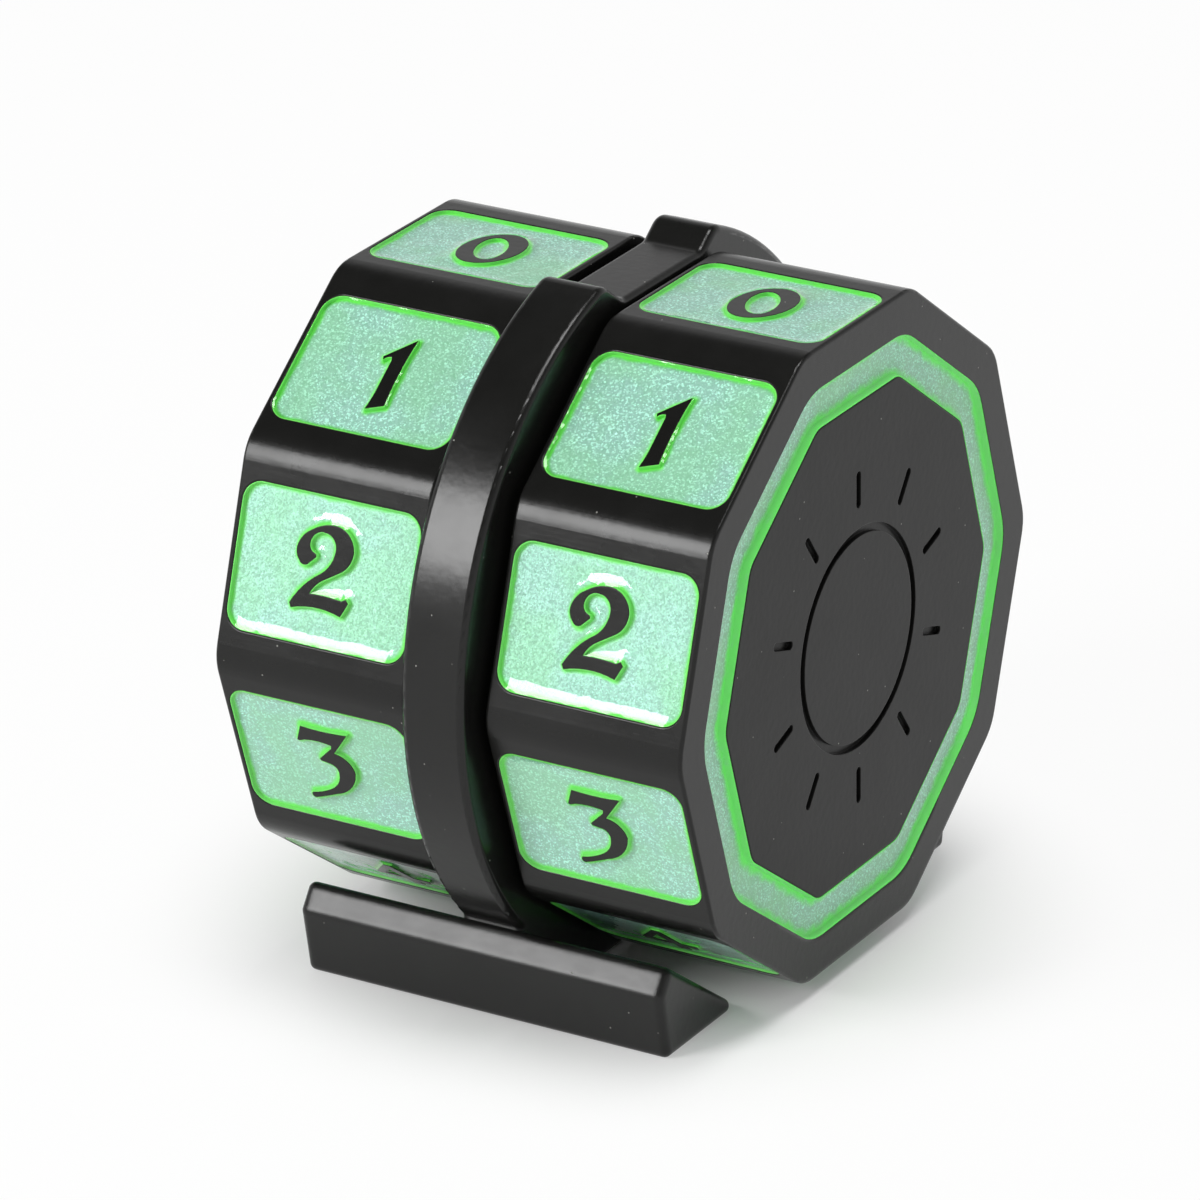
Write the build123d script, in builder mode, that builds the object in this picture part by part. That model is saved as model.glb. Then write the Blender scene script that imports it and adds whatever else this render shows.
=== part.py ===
"""Two-dial life counter: ten-sided number dials click round on an axle, either side of a hoop on feet.

Millimetres. X runs along the axle, with the ones dial at +X; the reader looks along +Y; +Z is up.
The origin is on the table, straight under the middle of the hoop.
"""

import os
from math import cos, pi, radians, sin, tan

from build123d import *

os.makedirs("parts", exist_ok=True)

# Dials: cast shells, one number to a flat
NUMBERS = 10
ACROSS_FLATS = 38.0
DIAL_WIDTH = 12.4
VERTEX_ROUND = 3.0
DIAL_END_ROUND = 0.2
HOOP_GAP = 0.6
DIAL_LIFT = 1.1

# Number panels: recesses in the flats, with raised numerals and a pool of enamel round each
PANEL_BAND = 3.9
PANEL_END_WALL = 0.38
PANEL_CORNER = 1.2
PANEL_DEPTH = 1.0
PANEL_LIP = 0.1
ENAMEL_DROP = 0.22
NUMERAL_HEIGHT = 4.7

# End face: a rim, a sunk ring of enamel, and a cover set inside the ring
END_RIM = 2.4
RING_WIDTH = 2.37
RING_DEPTH = 1.2
RING_DROP = 0.12
CAP_CORNER = 1.6
CAP_THICKNESS = 2.0
CAP_EDGE = 0.12
CAP_LEDGE = 1.4
CAP_FIT = 0.05
SPIGOT_WALL = 1.3
SPIGOT_DEPTH = 1.2
INDEX_RADIUS = 6.4
INDEX_LINE = 0.5
INDEX_DEPTH = 0.3
TICK_START = 7.9
TICK_LENGTH = 2.2

# Dial hub and what runs on the axle
DIAL_FLOOR = 2.4
DIAL_HUB_RADIUS = 4.2
DIAL_HUB_LENGTH = 6.2
AXLE_RADIUS = 1.5
RUNNING_FIT = 0.03
BUSHING_WALL = 0.8
BUSHING_PROUD = 0.2
FLANGE_RADIUS = 3.6
FLANGE_THICKNESS = 0.6
FLANGE_FIT = 0.05
THRUST_THICKNESS = 0.3
THRUST_RADIUS = 3.4
SPRING_HEIGHT = 0.3
SPRING_THICKNESS = 0.15
SPRING_RADIUS = 2.9
WASHER_THICKNESS = 0.5
WASHER_RADIUS = 3.4
WASHER_FIT = 0.1

# Retaining screws: pan heads with a cross recess, in tapped holes in the axle's ends
SCREW_RADIUS = 1.0
SCREW_LENGTH = 4.5
SCREW_HEAD_RADIUS = 1.9
SCREW_HEAD_HEIGHT = 1.2
SCREW_HEAD_ROUND = 0.5
TAP_DEPTH = 5.0
CROSS_SPAN = 2.0
CROSS_WIDTH = 0.5
CROSS_DEPTH = 0.6

# Click: grooves in the dial's inner face, and a spring strip with a bump, riveted to the web
CLICK_RADIUS = 10.5
GROOVE_RADIUS = 1.3
GROOVE_DEPTH = 0.45
GROOVE_LENGTH = 4.2
STRIP_THICKNESS = 0.25
STRIP_WIDTH = 3.0
STRIP_FLAT_START = 5.2
STRIP_FLAT_END = 9.4
STRIP_TIP = 2.3
BUMP_HALF_WIDTH = 1.05
BUMP_HEIGHT = 0.875
BUMP_CLEARANCE = 0.1
TIP_DROP = 0.25
RIVET_RADIUS = 0.55
RIVET_HEAD_RADIUS = 1.0
RIVET_HEAD_HEIGHT = 0.45
RIVET_HEAD_ROUND = 0.3
RIVET_PITCH = 2.2

# Stand: hoop, web, hub and two foot bars in one casting
HOOP_WIDTH = 4.0
HOOP_PROUD = 2.2
HOOP_DEPTH = 4.4
HOOP_EDGE = 0.4
WEB_THICKNESS = 2.0
WEB_ROOT = 0.4
STAND_HUB_RADIUS = 4.0
WINDOW_FRONT = 3.2
WINDOW_REAR = 5.4
WINDOW_SINK = 0.05
WINDOW_SLOPE = 36.0
WINDOW_ROOT = 1.0
WINDOW_LIP = 1.2
FOOT_LENGTH = 23.7
FOOT_HEIGHT = 5.6
FOOT_SHOULDER = 4.1
FOOT_REACH = 16.85
FOOT_TOE_REACH = 16.1
FOOT_GAP = 2.0
FOOT_EDGE = 0.45

# One overrun serves every cut that runs past a face
OVERRUN = 1.0

# Numerals, in shares of their height about the middle of the panel. The first contour is the body
# and the others are its holes. A contour is (start, runs), where a run is (end,) if straight and
# (through, end) if an arc, or it is an oval: (centre, half sizes, lean to the left in degrees).
NUMERAL_SHARES = {
    0: [
        ((0.042, 0.000), (0.374, 0.520), -8),
        ((0.032, -0.005), (0.196, 0.366), 15),
    ],
    1: [
        (
            (0.213, 0.497),
            [
                ((-0.127, 0.197),),
                ((-0.112, 0.160),),
                ((-0.060, 0.204), (-0.014, 0.212)),
                ((0.002, 0.165),),
                ((0.000, -0.300),),
                ((-0.008, -0.420), (-0.026, -0.540)),
                ((0.200, -0.452),),
                ((0.182, 0.000), (0.213, 0.497)),
            ],
        ),
    ],
    2: [
        (
            (-0.402, -0.440),
            [
                ((-0.240, -0.205), (-0.026, -0.025)),
                ((0.094, 0.122), (0.131, 0.270)),
                ((0.058, 0.425), (-0.046, 0.458)),
                ((-0.168, 0.428), (-0.229, 0.315)),
                ((-0.221, 0.252), (-0.181, 0.207)),
                ((-0.131, 0.185),),
                ((-0.124, 0.153),),
                ((-0.211, 0.070),),
                ((-0.278, 0.036), (-0.346, 0.080)),
                ((-0.391, 0.150), (-0.401, 0.230)),
                ((-0.352, 0.355), (-0.236, 0.460)),
                ((-0.090, 0.537), (0.074, 0.565)),
                ((0.278, 0.487), (0.376, 0.305)),
                ((0.328, 0.125), (0.214, 0.020)),
                ((0.024, -0.095),),
                ((-0.078, -0.176), (-0.148, -0.287)),
                ((0.080, -0.282), (0.300, -0.298)),
                ((0.356, -0.268),),
                ((0.395, -0.310),),
                ((0.310, -0.483),),
                ((-0.025, -0.438), (-0.372, -0.493)),
                ((-0.402, -0.440),),
            ],
        ),
    ],
    3: [
        (
            (-0.368, 0.316),
            [
                ((-0.281, 0.543),),
                ((0.030, 0.527), (0.368, 0.550)),
                ((0.122, 0.212),),
                ((0.290, 0.135), (0.368, -0.030)),
                ((0.270, -0.277), (0.020, -0.447)),
                ((-0.130, -0.515), (-0.280, -0.575)),
                ((-0.341, -0.565), (-0.338, -0.512)),
                ((-0.170, -0.458), (-0.010, -0.365)),
                ((0.090, -0.245), (0.128, -0.110)),
                ((0.102, -0.005), (0.020, 0.036)),
                ((-0.088, 0.052),),
                ((-0.104, 0.078),),
                ((0.097, 0.280),),
                ((0.107, 0.333),),
                ((-0.090, 0.355), (-0.270, 0.335)),
                ((-0.338, 0.305),),
                ((-0.368, 0.316),),
            ],
        ),
    ],
    4: [
        (
            (0.160, 0.500),
            [
                ((0.160, -0.150),),
                ((0.385, -0.125),),
                ((0.330, -0.300),),
                ((0.160, -0.300),),
                ((0.160, -0.460),),
                ((-0.015, -0.515),),
                ((-0.015, -0.300),),
                ((-0.390, -0.300),),
                ((-0.410, -0.225),),
                ((0.055, 0.500),),
                ((0.160, 0.500),),
            ],
        ),
        ((-0.015, 0.215), [((-0.015, -0.155),), ((-0.245, -0.155),), ((-0.015, 0.215),)]),
    ],
    5: [
        (
            (-0.235, 0.085),
            [
                ((-0.190, 0.490),),
                ((0.080, 0.470), (0.335, 0.520)),
                ((0.255, 0.320),),
                ((0.080, 0.312), (-0.075, 0.322)),
                ((-0.095, 0.170),),
                ((0.235, 0.120), (0.350, -0.130)),
                ((0.245, -0.360), (0.010, -0.490)),
                ((-0.110, -0.540), (-0.265, -0.566)),
                ((-0.330, -0.535), (-0.305, -0.475)),
                ((-0.120, -0.430), (0.020, -0.350)),
                ((0.125, -0.240), (0.135, -0.120)),
                ((0.060, 0.020), (-0.095, 0.040)),
                ((-0.165, 0.040),),
                ((-0.235, 0.085),),
            ],
        ),
    ],
    6: [
        (
            (0.265, 0.530),
            [
                ((-0.210, 0.355), (-0.365, -0.110)),
                ((-0.270, -0.415), (0.015, -0.525)),
                ((0.295, -0.425), (0.375, -0.155)),
                ((0.255, 0.080), (0.040, 0.130)),
                ((-0.060, 0.115), (-0.150, 0.055)),
                ((-0.030, 0.335), (0.255, 0.462)),
                ((0.265, 0.530),),
            ],
        ),
        ((0.020, -0.190), (0.168, 0.250), 14),
    ],
    7: [
        (
            (-0.370, 0.290),
            [
                ((-0.295, 0.510),),
                ((0.025, 0.492), (0.350, 0.520)),
                ((0.150, 0.080), (0.085, -0.470)),
                ((-0.110, -0.530),),
                ((0.000, -0.020), (0.150, 0.322)),
                ((-0.080, 0.340), (-0.290, 0.322)),
                ((-0.325, 0.268),),
                ((-0.370, 0.290),),
            ],
        ),
    ],
    8: [
        (
            (-0.185, 0.070),
            [
                ((-0.270, 0.360), (0.010, 0.510)),
                ((0.280, 0.360), (0.200, 0.070)),
                ((0.355, -0.215), (0.000, -0.525)),
                ((-0.360, -0.215), (-0.185, 0.070)),
            ],
        ),
        ((0.012, 0.275), (0.118, 0.165), 16),
        ((0.000, -0.215), (0.180, 0.220), 16),
    ],
}

# Places that follow from the sizes above
STEP_ANGLE = 360 / NUMBERS
FLAT_RADIUS = ACROSS_FLATS / 2
FLAT_WIDTH = 2 * FLAT_RADIUS * tan(pi / NUMBERS)
AXLE_HEIGHT = FLAT_RADIUS + DIAL_LIFT
DIAL_INNER = HOOP_WIDTH / 2 + HOOP_GAP
DIAL_OUTER = DIAL_INNER + DIAL_WIDTH
DIAL_MIDDLE = DIAL_INNER + DIAL_WIDTH / 2
PANEL_LENGTH = DIAL_WIDTH - 2 * PANEL_END_WALL
PANEL_HEIGHT = FLAT_WIDTH - PANEL_BAND
RING_FLAT_RADIUS = FLAT_RADIUS - END_RIM
CAP_FLAT_RADIUS = RING_FLAT_RADIUS - RING_WIDTH
CAVITY_RADIUS = CAP_FLAT_RADIUS - CAP_LEDGE
RING_CORNER = CAP_CORNER + RING_WIDTH
RING_FLOOR = DIAL_OUTER - RING_DEPTH
CAP_SEAT = DIAL_OUTER - CAP_THICKNESS
CAVITY_FLOOR = DIAL_INNER + DIAL_FLOOR
FLANGE_INNER = HOOP_WIDTH / 2 + THRUST_THICKNESS
FLANGE_SEAT = FLANGE_INNER + FLANGE_THICKNESS
DIAL_HUB_END = DIAL_INNER + DIAL_HUB_LENGTH
BUSHING_END = DIAL_HUB_END + BUSHING_PROUD
BUSHING_RADIUS = AXLE_RADIUS + BUSHING_WALL
AXLE_END = BUSHING_END + SPRING_HEIGHT
WASHER_END = AXLE_END + WASHER_THICKNESS
HOOP_RADIUS = FLAT_RADIUS + HOOP_PROUD
RECESS_RADIUS = HOOP_RADIUS - HOOP_DEPTH
RECESS_DEPTH = (HOOP_WIDTH - WEB_THICKNESS) / 2
GROOVE_BOTTOM = DIAL_INNER + GROOVE_DEPTH
RIVET_MIDDLE = (STRIP_FLAT_START + STRIP_FLAT_END) / 2


def beside(side, distance):
    """A plane square to the axle, that far from the middle of the hoop and facing outwards."""
    return Plane(origin=(side * distance, 0, AXLE_HEIGHT), x_dir=(0, 1, 0), z_dir=(side, 0, 0))


def around(number, radius, x):
    """The plane over a number's flat, facing outwards, at that radius and place along the axle."""
    turn = radians(number * STEP_ANGLE)
    outwards = (0, -sin(turn), cos(turn))
    origin = (x, radius * outwards[1], AXLE_HEIGHT + radius * outwards[2])
    return Plane(origin=origin, x_dir=(1, 0, 0), z_dir=outwards)


def decagon(flat_radius, corner):
    """A ten-sided profile with rounded corners."""
    RegularPolygon(flat_radius, NUMBERS, major_radius=False)
    fillet(vertices(), corner)


def scaled(point):
    """A point of a numeral in millimetres."""
    return (point[0] * NUMERAL_HEIGHT, point[1] * NUMERAL_HEIGHT)


def contour_face(contour):
    """The face inside one closed contour of a numeral."""
    with BuildSketch() as face:
        if len(contour) == 3:
            centre, half_sizes, lean = contour
            with Locations(scaled(centre)):
                Ellipse(*scaled(half_sizes), rotation=lean)
        else:
            start, runs = contour
            with BuildLine():
                for run in runs:
                    points = [scaled(point) for point in (start, *run)]
                    if len(points) == 2:
                        Line(*points)
                    else:
                        ThreePointArc(*points)
                    start = run[-1]
            make_face()
    return face.sketch


def numeral_profile(number):
    """The numeral's profile. The nine is the six turned half a turn."""
    turned = number == 9
    body, *holes = NUMERAL_SHARES[6 if turned else number]
    with BuildSketch() as upright:
        add(contour_face(body))
        for hole in holes:
            add(contour_face(hole), mode=Mode.SUBTRACT)
    with BuildSketch() as profile:
        add(upright.sketch, rotation=180 if turned else 0)
    return profile.sketch


def raised_numeral(number):
    """A numeral that stands on the panel's floor and is flush with the dial's skin."""
    with BuildPart() as numeral:
        with BuildSketch():
            add(numeral_profile(number))
        extrude(amount=PANEL_DEPTH)
    return numeral.part


def enamel_pool(number):
    """The enamel that fills one panel round its numeral, a little below the dial's skin."""
    with BuildPart() as pool:
        with BuildSketch():
            RectangleRounded(PANEL_LENGTH, PANEL_HEIGHT, PANEL_CORNER)
            add(numeral_profile(number), mode=Mode.SUBTRACT)
        extrude(amount=PANEL_DEPTH - ENAMEL_DROP)
    return pool.part


numerals = [raised_numeral(number) for number in range(NUMBERS)]
pools = [enamel_pool(number) for number in range(NUMBERS)]


def dial_shell(side):
    """The cast dial: ten recessed flats with numerals, a hub, and a cavity that the end cap closes."""
    with BuildPart() as shell:
        with BuildSketch(beside(side, DIAL_INNER)):
            decagon(FLAT_RADIUS, VERTEX_ROUND)
        extrude(amount=DIAL_WIDTH)
        for end in (shell.faces().sort_by(Axis.X)[0], shell.faces().sort_by(Axis.X)[-1]):
            fillet(end.edges(), DIAL_END_ROUND)
        with BuildSketch(beside(side, CAVITY_FLOOR)):
            Circle(CAVITY_RADIUS)
            Circle(DIAL_HUB_RADIUS, mode=Mode.SUBTRACT)
        extrude(amount=DIAL_WIDTH, mode=Mode.SUBTRACT)
        with BuildSketch(beside(side, DIAL_HUB_END)):
            Circle(DIAL_HUB_RADIUS + OVERRUN)
        extrude(amount=DIAL_WIDTH, mode=Mode.SUBTRACT)
        with BuildSketch(beside(side, CAP_SEAT)):
            decagon(CAP_FLAT_RADIUS + CAP_FIT, CAP_CORNER)
        extrude(amount=CAP_THICKNESS, mode=Mode.SUBTRACT)
        with BuildSketch(beside(side, RING_FLOOR)):
            decagon(RING_FLAT_RADIUS, RING_CORNER)
        extrude(amount=RING_DEPTH + OVERRUN, mode=Mode.SUBTRACT)
        with BuildSketch(beside(side, DIAL_INNER - OVERRUN)):
            Circle(BUSHING_RADIUS)
        extrude(amount=DIAL_WIDTH, mode=Mode.SUBTRACT)
        with BuildSketch(beside(side, FLANGE_SEAT)):
            Circle(FLANGE_RADIUS + FLANGE_FIT)
        extrude(amount=-FLANGE_THICKNESS, mode=Mode.SUBTRACT)
        for number in range(NUMBERS):
            start = CLICK_RADIUS - GROOVE_LENGTH / 2
            with BuildSketch(around(number, start, side * (GROOVE_BOTTOM - GROOVE_RADIUS))):
                Circle(GROOVE_RADIUS)
            extrude(amount=GROOVE_LENGTH, mode=Mode.SUBTRACT)
        for number in range(NUMBERS):
            flat = around(number, FLAT_RADIUS, side * DIAL_MIDDLE)
            with BuildSketch(flat):
                RectangleRounded(PANEL_LENGTH, PANEL_HEIGHT, PANEL_CORNER)
            extrude(amount=-PANEL_DEPTH, mode=Mode.SUBTRACT)
            cut_edges = shell.edges(Select.LAST)
            opening = cut_edges.filter_by(lambda edge, flat=flat: flat.contains(edge.center()))
            fillet(opening, PANEL_LIP)
        for number, numeral in enumerate(numerals):
            with Locations(around(number, FLAT_RADIUS - PANEL_DEPTH, side * DIAL_MIDDLE)):
                add(numeral)
    return shell.part


def number_enamel(side):
    """Ten pools of enamel, one in each panel."""
    with BuildPart() as enamel:
        for number, pool in enumerate(pools):
            with Locations(around(number, FLAT_RADIUS - PANEL_DEPTH, side * DIAL_MIDDLE)):
                add(pool)
    return enamel.part


def ring_enamel(side):
    """The ring of enamel poured round the edge of the end cap."""
    with BuildPart() as ring:
        with BuildSketch(beside(side, RING_FLOOR)):
            decagon(RING_FLAT_RADIUS, RING_CORNER)
        extrude(amount=RING_DEPTH - RING_DROP)
        with BuildSketch(beside(side, RING_FLOOR)):
            decagon(CAP_FLAT_RADIUS, CAP_CORNER)
        extrude(amount=RING_DEPTH, mode=Mode.SUBTRACT)
    return ring.part


def end_cap(side):
    """The cover of the dial's cavity, with a plain engraved circle and one tick to a number."""
    with BuildPart() as cap:
        with BuildSketch(beside(side, CAP_SEAT)):
            decagon(CAP_FLAT_RADIUS, CAP_CORNER)
        extrude(amount=CAP_THICKNESS)
        face = cap.faces().sort_by(Axis.X)[-1 if side > 0 else 0]
        fillet(face.edges(), CAP_EDGE)
        with BuildSketch(beside(side, CAP_SEAT)):
            Circle(CAVITY_RADIUS - CAP_FIT)
            Circle(CAVITY_RADIUS - CAP_FIT - SPIGOT_WALL, mode=Mode.SUBTRACT)
        extrude(amount=-SPIGOT_DEPTH)
        with BuildSketch(beside(side, DIAL_OUTER)):
            Circle(INDEX_RADIUS + INDEX_LINE / 2)
            Circle(INDEX_RADIUS - INDEX_LINE / 2, mode=Mode.SUBTRACT)
            with PolarLocations(TICK_START + TICK_LENGTH / 2, NUMBERS, start_angle=STEP_ANGLE / 2):
                SlotOverall(TICK_LENGTH, INDEX_LINE)
        extrude(amount=-INDEX_DEPTH, mode=Mode.SUBTRACT)
    return cap.part


def bushing(side):
    """The flanged bushing pressed into the dial's hub, running on the axle."""
    with BuildPart() as bush:
        with BuildSketch(beside(side, FLANGE_INNER)):
            Circle(FLANGE_RADIUS)
        extrude(amount=FLANGE_THICKNESS)
        with BuildSketch(beside(side, FLANGE_SEAT)):
            Circle(BUSHING_RADIUS)
        extrude(amount=BUSHING_END - FLANGE_SEAT)
        with BuildSketch(beside(side, FLANGE_INNER)):
            Circle(AXLE_RADIUS + RUNNING_FIT)
        extrude(amount=BUSHING_END, mode=Mode.SUBTRACT)
    return bush.part


def thrust_washer(side):
    """The thin washer between the stand's hub and the bushing's flange."""
    with BuildPart() as washer:
        with BuildSketch(beside(side, HOOP_WIDTH / 2)):
            Circle(THRUST_RADIUS)
            Circle(AXLE_RADIUS + WASHER_FIT, mode=Mode.SUBTRACT)
        extrude(amount=THRUST_THICKNESS)
    return washer.part


def disc_spring(side):
    """The conical spring washer that takes up the dial's end play."""
    bore = AXLE_RADIUS + WASHER_FIT
    rise = SPRING_HEIGHT - SPRING_THICKNESS
    inner_end = (side * BUSHING_END, 0, AXLE_HEIGHT)
    with BuildPart() as spring:
        with BuildSketch(Plane(origin=inner_end, x_dir=(side, 0, 0), z_dir=(0, -side, 0))):
            with BuildLine():
                Polyline(
                    (0, bore),
                    (rise, SPRING_RADIUS),
                    (SPRING_HEIGHT, SPRING_RADIUS),
                    (SPRING_THICKNESS, bore),
                    close=True,
                )
            make_face()
        revolve(axis=Axis((0, 0, AXLE_HEIGHT), (1, 0, 0)))
    return spring.part


def click_spring(side):
    """The spring strip: flat under its rivets, then clear of the web, with a bump in a groove."""
    web_face = WEB_THICKNESS / 2 + STRIP_THICKNESS / 2
    crown = GROOVE_BOTTOM - BUMP_CLEARANCE - STRIP_THICKNESS / 2
    shoulder = crown - BUMP_HEIGHT
    bottom = AXLE_HEIGHT - CLICK_RADIUS - STRIP_WIDTH / 2
    with BuildPart() as strip:
        with BuildSketch(Plane.XY.offset(bottom)):
            with BuildLine() as bent:
                Polyline(
                    (side * web_face, STRIP_FLAT_END),
                    (side * web_face, STRIP_FLAT_START),
                    (side * shoulder, BUMP_HALF_WIDTH),
                )
                ThreePointArc(
                    (side * shoulder, BUMP_HALF_WIDTH),
                    (side * crown, 0),
                    (side * shoulder, -BUMP_HALF_WIDTH),
                )
                Line((side * shoulder, -BUMP_HALF_WIDTH), (side * (shoulder - TIP_DROP), -STRIP_TIP))
                offset(bent.line, STRIP_THICKNESS / 2, kind=Kind.ARC, side=Side.BOTH, mode=Mode.REPLACE)
            make_face()
        extrude(amount=STRIP_WIDTH)
        with BuildSketch(beside(side, 0)):
            with Locations((RIVET_MIDDLE, -side * CLICK_RADIUS)):
                with GridLocations(RIVET_PITCH, 0, 2, 1):
                    Circle(RIVET_RADIUS)
        extrude(amount=DIAL_INNER, mode=Mode.SUBTRACT)
    return strip.part


def save(part, name):
    """Labels a finished piece and writes it to its own file."""
    part.label = name
    export_step(part, f"parts/{name}.step")


for side, dial in ((1, "ones"), (-1, "tens")):
    save(dial_shell(side), f"{dial}_dial_shell")
    save(number_enamel(side), f"{dial}_number_enamel")
    save(ring_enamel(side), f"{dial}_ring_enamel")
    save(end_cap(side), f"{dial}_end_cap")
    save(bushing(side), f"{dial}_bushing")
    save(thrust_washer(side), f"{dial}_thrust_washer")
    save(disc_spring(side), f"{dial}_disc_spring")
    save(click_spring(side), f"{dial}_click_spring")

# The steel axle, tapped at both ends
with BuildPart() as axle:
    with BuildSketch(beside(1, 0)):
        Circle(AXLE_RADIUS)
    extrude(amount=AXLE_END, both=True)
    for side in (1, -1):
        with BuildSketch(beside(side, AXLE_END)):
            Circle(SCREW_RADIUS)
        extrude(amount=-TAP_DEPTH, mode=Mode.SUBTRACT)
save(axle.part, "axle")

# One washer at each end of the axle, clamped by its screw
with BuildPart() as retaining_washers:
    for side in (1, -1):
        with BuildSketch(beside(side, AXLE_END)):
            Circle(WASHER_RADIUS)
            Circle(SCREW_RADIUS + WASHER_FIT, mode=Mode.SUBTRACT)
        extrude(amount=WASHER_THICKNESS)
save(retaining_washers.part, "retaining_washers")

# The pan-head screws in the axle's ends
with BuildPart() as retaining_screws:
    for side in (1, -1):
        with BuildSketch(beside(side, WASHER_END)):
            Circle(SCREW_HEAD_RADIUS)
        extrude(amount=SCREW_HEAD_HEIGHT)
        head_top = retaining_screws.faces().sort_by(Axis.X)[-1 if side > 0 else 0]
        fillet(head_top.edges(), SCREW_HEAD_ROUND)
        with BuildSketch(beside(side, WASHER_END + SCREW_HEAD_HEIGHT)):
            Rectangle(CROSS_SPAN, CROSS_WIDTH)
            Rectangle(CROSS_WIDTH, CROSS_SPAN)
        extrude(amount=-CROSS_DEPTH, mode=Mode.SUBTRACT)
        with BuildSketch(beside(side, WASHER_END)):
            Circle(SCREW_RADIUS)
        extrude(amount=-SCREW_LENGTH)
save(retaining_screws.part, "retaining_screws")

# Two rivets through the web and both spring strips
with BuildPart() as spring_rivets:
    grip = WEB_THICKNESS / 2 + STRIP_THICKNESS
    with BuildSketch(beside(1, 0)):
        with Locations((RIVET_MIDDLE, -CLICK_RADIUS)):
            with GridLocations(RIVET_PITCH, 0, 2, 1):
                Circle(RIVET_RADIUS)
    extrude(amount=grip, both=True)
    for side in (1, -1):
        with BuildSketch(beside(side, grip)):
            with Locations((RIVET_MIDDLE, -side * CLICK_RADIUS)):
                with GridLocations(RIVET_PITCH, 0, 2, 1):
                    Circle(RIVET_HEAD_RADIUS)
        extrude(amount=RIVET_HEAD_HEIGHT)
        head_tops = spring_rivets.faces().filter_by(Axis.X).group_by(Axis.X)[-1 if side > 0 else 0]
        fillet(head_tops.edges(), RIVET_HEAD_ROUND)
save(spring_rivets.part, "spring_rivets")


def foot_bar(facing):
    """One foot bar, a wedge whose slope lies under the dials. Facing is -1 in front and 1 behind."""
    with BuildPart() as foot:
        with BuildSketch(Plane.YZ.offset(-FOOT_LENGTH / 2)):
            with BuildLine():
                Polyline(
                    (facing * FOOT_TOE_REACH, 0),
                    (facing * FOOT_REACH, FOOT_SHOULDER),
                    (facing * slope_reach(FOOT_HEIGHT), FOOT_HEIGHT),
                    (facing * slope_reach(0), 0),
                    close=True,
                )
            make_face()
        extrude(amount=FOOT_LENGTH)
        fillet(foot.edges(), FOOT_EDGE)
    return foot.part


def slope_reach(height):
    """How far out the feet's slope is at that height. It runs alongside a flat of the dials."""
    step = radians(STEP_ANGLE)
    return (FLAT_RADIUS + FOOT_GAP - (AXLE_HEIGHT - height) * cos(step)) / sin(step)


feet = [foot_bar(facing) for facing in (-1, 1)]

# The stand in one casting: hoop with its reading window, web, hub and feet
window_floor = FLAT_RADIUS - WINDOW_SINK
window_rise = HOOP_PROUD + WINDOW_SINK + OVERRUN
window_run = window_rise / tan(radians(WINDOW_SLOPE))
blend_reach = slope_reach(FOOT_HEIGHT) - FOOT_EDGE
with BuildPart() as stand_frame:
    with BuildSketch(beside(1, -HOOP_WIDTH / 2)) as hoop_profile:
        Circle(HOOP_RADIUS)
        with Locations((0, -AXLE_HEIGHT)):
            Rectangle(2 * HOOP_RADIUS, HOOP_RADIUS, align=(Align.CENTER, Align.MAX), mode=Mode.SUBTRACT)
        with BuildLine():
            Polyline(
                (-slope_reach(FOOT_HEIGHT / 2), -AXLE_HEIGHT),
                (-blend_reach, FOOT_HEIGHT - FOOT_EDGE - AXLE_HEIGHT),
                (-blend_reach, 0),
                (blend_reach, 0),
                (blend_reach, FOOT_HEIGHT - FOOT_EDGE - AXLE_HEIGHT),
                (slope_reach(FOOT_HEIGHT / 2), -AXLE_HEIGHT),
                close=True,
            )
        make_face()
        with BuildLine():
            Polyline(
                (-WINDOW_FRONT, window_floor),
                (-WINDOW_FRONT - window_run, window_floor + window_rise),
                (WINDOW_REAR + window_run, window_floor + window_rise),
                (WINDOW_REAR, window_floor),
                close=True,
            )
        make_face(mode=Mode.SUBTRACT)
        corners = hoop_profile.vertices().sort_by(Axis.Y)
        fillet(corners[-4:-2], WINDOW_ROOT)
        fillet(hoop_profile.vertices().sort_by(Axis.Y)[-2:], WINDOW_LIP)
    extrude(amount=HOOP_WIDTH)
    for end in (stand_frame.faces().sort_by(Axis.X)[0], stand_frame.faces().sort_by(Axis.X)[-1]):
        fillet(end.edges(), HOOP_EDGE)
    for side in (1, -1):
        with BuildSketch(beside(side, WEB_THICKNESS / 2)):
            Circle(RECESS_RADIUS)
            Circle(STAND_HUB_RADIUS, mode=Mode.SUBTRACT)
        extrude(amount=RECESS_DEPTH + OVERRUN, mode=Mode.SUBTRACT)
        cut_edges = stand_frame.edges(Select.LAST).filter_by(GeomType.CIRCLE)
        rim_edges = cut_edges.filter_by(lambda edge: edge.radius > STAND_HUB_RADIUS)
        fillet(rim_edges, WEB_ROOT)
    with BuildSketch(beside(1, -HOOP_WIDTH / 2)):
        Circle(AXLE_RADIUS)
    extrude(amount=HOOP_WIDTH, mode=Mode.SUBTRACT)
    with BuildSketch(beside(1, -HOOP_WIDTH / 2)):
        with Locations((RIVET_MIDDLE, -CLICK_RADIUS)):
            with GridLocations(RIVET_PITCH, 0, 2, 1):
                Circle(RIVET_RADIUS)
    extrude(amount=HOOP_WIDTH, mode=Mode.SUBTRACT)
    for foot in feet:
        add(foot)
save(stand_frame.part, "stand_frame")
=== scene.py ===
"""A two-dial life counter on a white table: the finish of its castings, its enamel and its running gear.
Its sizes are in millimetres, and MM turns them to metres."""

import math

import bmesh
import bpy
import numpy as np
from mathutils import Matrix, Vector
from mathutils.geometry import delaunay_2d_cdt


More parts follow.
